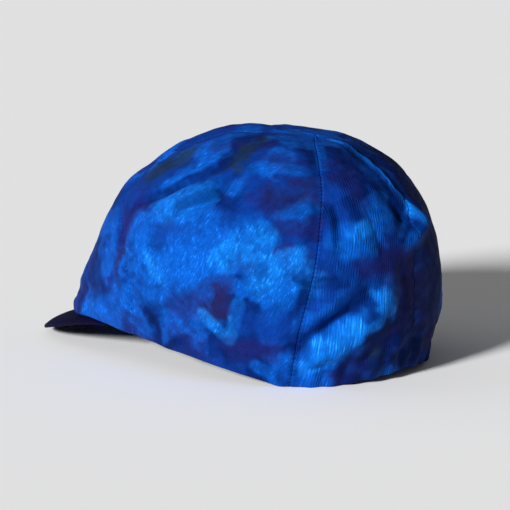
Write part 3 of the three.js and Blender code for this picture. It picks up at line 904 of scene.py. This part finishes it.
# What the weave does to the dye. A mask is eased from low to high, here the first two numbers of
# each row, and the other two, where there are any, are what it gives at low and at high.
SHEEN_DYE = (0.12, 0.42)
SHEEN_STREAKS = (0.52, 0.70)
SHEEN_GAIN = 0.8
STREAK_SHADE = (0.3, 0.5, 0.80, 1)
FLECK_SHADE = (0.3, 0.7, 0.86, 1.16)
THREAD_GAIN = 0.45
PALE_FLECK = (0.030, 0.250, 0.640, 1)
PALE_STREAKS = (0.58, 0.76, 0.0, 0.4)
PALE_DYE = (0.22, 0.46)
RELIEF_STRENGTH = 0.9
CLOTH_ROUGHNESS = 0.75
CLOTH_SPECULAR = 0.12
CLOTH_TINT = (0.05, 0.38, 1, 1)


def cloth_with_dye_and_painted_light(name, weave):
    """A woven cloth with the dye painted on its piece, and on the crown painted shade and highlights
    too.
    """
    material = bpy.data.materials.new(name)
    material.use_nodes = True
    tree = material.node_tree
    tree.nodes.clear()
    nodes = Nodes(tree)
    # On the crown the dye attribute holds painted shade and highlights as well as dye.
    dye = nodes.add("ShaderNodeAttribute", attribute_name="dye").outputs["Color"]
    seam = nodes.add("ShaderNodeAttribute", attribute_name="seam").outputs["Fac"]
    cloth = nodes.add("ShaderNodeUVMap", uv_map="cloth").outputs[0]
    woven = nodes.add("ShaderNodeGroup", node_tree=WEAVE)
    nodes.feed(woven.inputs["Cloth"], cloth)
    nodes.feed(woven.inputs["Turn"], math.radians(weave["turn"]))
    nodes.feed(woven.inputs["Rib Spacing"], weave["spacing"])
    nodes.feed(woven.inputs["Streak Length"], weave["streak"])
    sewn = nodes.add("ShaderNodeGroup", node_tree=STITCHES)
    nodes.feed(sewn.inputs["Cloth"], cloth)
    nodes.feed(sewn.inputs["Seam"], seam)
    blue = nodes.add("ShaderNodeSeparateColor", {0: dye}).outputs["Blue"]
    streaks = woven.outputs["Brushed"]
    sheen = nodes.math("MULTIPLY", nodes.ramp(streaks, *SHEEN_STREAKS),
                       nodes.ramp(blue, *SHEEN_DYE))
    shade = nodes.math("MULTIPLY_ADD", woven.outputs["Ribs"], weave["ribs"], 1.0)
    shade = nodes.math("MULTIPLY", shade, nodes.ramp(streaks, *STREAK_SHADE))
    shade = nodes.math("MULTIPLY", shade, nodes.ramp(woven.outputs["Flecks"], *FLECK_SHADE))
    shade = nodes.math("MULTIPLY_ADD", sheen, SHEEN_GAIN, shade)
    shade = nodes.math("MULTIPLY_ADD", sewn.outputs["Thread"], THREAD_GAIN, shade)
    fleck = nodes.math("MULTIPLY", nodes.ramp(streaks, *PALE_STREAKS), nodes.ramp(blue, *PALE_DYE))
    flecked = nodes.mix(fleck, dye, PALE_FLECK)
    scaled = nodes.add("ShaderNodeVectorMath", {0: flecked, "Scale": shade}, operation="SCALE")
    bump = nodes.add("ShaderNodeBump", {
        "Strength": RELIEF_STRENGTH, "Distance": weave["depth"], "Height": woven.outputs["Height"],
    })
    shader = nodes.add("ShaderNodeBsdfPrincipled", {
        "Base Color": scaled.outputs[0], "Roughness": CLOTH_ROUGHNESS, "Normal": bump.outputs[0],
        "Specular IOR Level": CLOTH_SPECULAR, "Specular Tint": CLOTH_TINT,
    })
    nodes.add("ShaderNodeOutputMaterial", {"Surface": shader.outputs[0]})
    return material


def panel_points(angle, share, depth):
    """A panel's cloth in millimetres, with the hem's corners at the seams drawn up a little."""
    points = outer_face(angle, share) - outward(angle, share) * depth[..., None]
    edge = HEM_TURN[HEM_EDGE_ROW]["deep"]
    points[:len(HEM_TURN), :, 2] += SEAM_CORNER_RISE * np.clip(depth[HEM_EDGE_ROW] - edge, 0, 1)
    points[..., 2] = np.maximum(points[..., 2], 0)
    return points


def make_crown():
    """The five panels of the crown."""
    for panel in PANELS:
        angle, share, depth = panel_places(panel)
        seam = np.min(np.abs(seam_distances(angle, share)), axis=0) * MM
        piece = cloth_grid(panel["name"], panel_points(angle, share, depth),
                           paint(smooth_crown(angle, share)), seam)
        thick = piece.modifiers.new("cloth", "SOLIDIFY")
        thick.thickness = CLOTH_THICKNESS * MM
        thick.offset = -1
        thick.use_even_offset = False
        piece.data.materials.append(cloth_with_dye_and_painted_light(panel["name"], WEAVES[panel["weave"]]))
        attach(piece, "root")
        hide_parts(panel["node"])


# The peak's cover, whose root is turned up inside the crown as a tongue that leans a little
PEAK_COLUMNS = 150
PEAK_ROWS = 60
PEAK_TONGUE_RISE = 7
PEAK_TONGUE_INSET = 3.1
PEAK_TONGUE_LEAN = 0.2
PEAK_TONGUE_THICKNESS = 1.2
PEAK_TONGUE_ROWS = 5
EDGE_ROUND_STEPS = 14
EDGE_ROUND_SHARE = 0.4
PEAK_CLOUDS = dict(size=20, layer=2, low=0.42, high=0.6, strength=1)
NO_SEAM_NEAR = 1.0


def peak_points():
    """Rows of points all round the peak, from the tongue over the board and back under it."""
    across = np.linspace(-1, 1, PEAK_COLUMNS + 1)
    angle = across * PEAK_ROOT_ANGLE
    zero = np.zeros_like(across)
    rim = smooth_crown(angle, zero)
    inside = -outward(angle, zero)
    root = rim + inside * HEM_CLOTH
    root[:, 2] = rim[:, 2] - SEAM_GAP
    turn = np.radians(across * PEAK_EDGE_ANGLE)
    size = oval_radius(turn, PEAK_OUTLINE_POWER)
    edge = np.stack([
        PEAK_HALF * np.sin(turn) * size,
        CENTRE_SHIFT - PEAK_MIDDLE - PEAK_REACH * np.cos(turn) * size,
        PEAK_BOARD + PEAK_EDGE_RISE * np.abs(np.sin(turn)) ** PEAK_EDGE_POWER,
    ], axis=-1)
    reach = np.linalg.norm(edge - root, axis=1)
    board = PEAK_BOARD + (PEAK_CORNER - PEAK_BOARD) * across ** 4
    radius = np.minimum(board / 2, EDGE_ROUND_SHARE * reach)

    def face(out, below):
        """Points of the arched board, a share of the way out and some way below its top."""
        point = root + (edge - root) * out[:, None]
        arch = CROWNING_SCALE * out * out * (1 - out) * (1 - across * across)
        point[:, 2] += PEAK_CROWNING * arch - below
        return point

    up = np.array([0, 0, 1.0])
    rows = []
    tongue_top = rim + inside * PEAK_TONGUE_INSET + up * PEAK_TONGUE_RISE
    tongue_foot = rim + inside * (PEAK_TONGUE_INSET - PEAK_TONGUE_LEAN)
    for t in np.linspace(0, 1, PEAK_TONGUE_ROWS + 1)[:-1]:
        rows.append(tongue_top * (1 - t) + tongue_foot * t)
    last = 1 - radius / reach
    for t in np.linspace(0, 1, PEAK_ROWS):
        rows.append(face(t * last, 0))
    centre = face(last, board / 2)
    heading = (edge - root) / reach[:, None]
    for step in range(1, EDGE_ROUND_STEPS):
        around = math.pi / 2 - math.pi * step / EDGE_ROUND_STEPS
        rows.append(centre + heading * (radius * math.cos(around))[:, None]
                    + up * (board / 2 * math.sin(around))[:, None])
    for t in np.linspace(1, 0, PEAK_ROWS):
        rows.append(face(t * last, board))
    back_foot = rim + inside * (PEAK_TONGUE_INSET + PEAK_TONGUE_THICKNESS)
    back_top = tongue_top + inside * PEAK_TONGUE_THICKNESS
    for t in np.linspace(0, 1, PEAK_TONGUE_ROWS + 1):
        rows.append(back_foot * (1 - t) + back_top * t)
    rows.append(rows[0])
    return np.stack(rows)


def make_peak():
    """The covered peak, a rounded board whose root is turned up inside the hem."""
    points = peak_points()
    dye = blend(np.zeros(points.shape) + DYE_AND_PAINTED_LIGHT_COLOURS["wine"], "ink",
                cloud_cover(warped(points), PEAK_CLOUDS))
    seam = np.full(points.shape[:-1], NO_SEAM_NEAR)
    piece = cloth_grid("peak_cover", points, dye, seam, closed_rows=True)
    piece.data.materials.append(cloth_with_dye_and_painted_light("peak_cover", WEAVES["peak"]))
    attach(piece, "root")
    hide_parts("peak")


FLOOR_HALF = 8
FLOOR_COLOUR = (0.93, 0.93, 0.93, 1)


def make_floor():
    """A plain pale floor."""
    bm = bmesh.new()
    bmesh.ops.create_grid(bm, x_segments=1, y_segments=1, size=FLOOR_HALF)
    mesh = bpy.data.meshes.new("floor")
    bm.to_mesh(mesh)
    bm.free()
    floor = bpy.data.objects.new("floor", mesh)
    bpy.context.scene.collection.objects.link(floor)
    material = bpy.data.materials.new("pale floor")
    material.use_nodes = True
    shader = material.node_tree.nodes["Principled BSDF"]
    shader.inputs["Base Color"].default_value = FLOOR_COLOUR
    shader.inputs["Roughness"].default_value = 1
    shader.inputs["Specular IOR Level"].default_value = 0
    floor.data.materials.append(material)


CAMERA_TURN = math.radians(36)
CAMERA_RISE = math.radians(12.5)
CAMERA_DISTANCE = 1.3
CAMERA_LENS = 181
CAMERA_SENSOR = 36
CAMERA_TARGET = Vector((0, CENTRE_SHIFT * MM, 0.0496))
CROWN_FOOT = Vector((0, CENTRE_SHIFT * MM, 0))


def toward(turn, rise):
    """A direction from the cap, turned from its left side towards its back, and raised."""
    return Vector((math.cos(turn) * math.cos(rise), math.sin(turn) * math.cos(rise),
                   math.sin(rise)))


def make_camera():
    """The camera, looking at the left side from behind and a little above."""
    data = bpy.data.cameras.new("camera")
    data.lens = CAMERA_LENS
    data.sensor_width = CAMERA_SENSOR
    camera = bpy.data.objects.new("camera", data)
    camera.location = CROWN_FOOT + toward(CAMERA_TURN, CAMERA_RISE) * CAMERA_DISTANCE
    gaze = CAMERA_TARGET - camera.location
    camera.rotation_euler = gaze.to_track_quat("-Z", "Y").to_euler()
    bpy.context.scene.collection.objects.link(camera)
    bpy.context.scene.camera = camera


LIGHTS = [
    dict(name="key light", turn=0, rise=21, strength=5.4, softness=10),
    dict(name="fill light", turn=-75, rise=30, strength=0.3, softness=60),
]
SKY = 0.14


def make_lights():
    """Soft studio lights and an even pale surrounding."""
    for light in LIGHTS:
        data = bpy.data.lights.new(light["name"], "SUN")
        data.angle = math.radians(light["softness"])
        data.energy = light["strength"]
        lamp = bpy.data.objects.new(light["name"], data)
        direction = toward(math.radians(light["turn"]), math.radians(light["rise"]))
        lamp.location = CAMERA_TARGET + direction
        lamp.rotation_euler = (-direction).to_track_quat("-Z", "Y").to_euler()
        bpy.context.scene.collection.objects.link(lamp)
    world = bpy.data.worlds.new("surrounding")
    world.use_nodes = True
    world.node_tree.nodes["Background"].inputs["Color"].default_value = (1, 1, 1, 1)
    world.node_tree.nodes["Background"].inputs["Strength"].default_value = SKY
    bpy.context.scene.world = world


make_crown()
make_peak()
make_floor()
make_camera()
make_lights()
bpy.context.scene.view_settings.view_transform = "Standard"
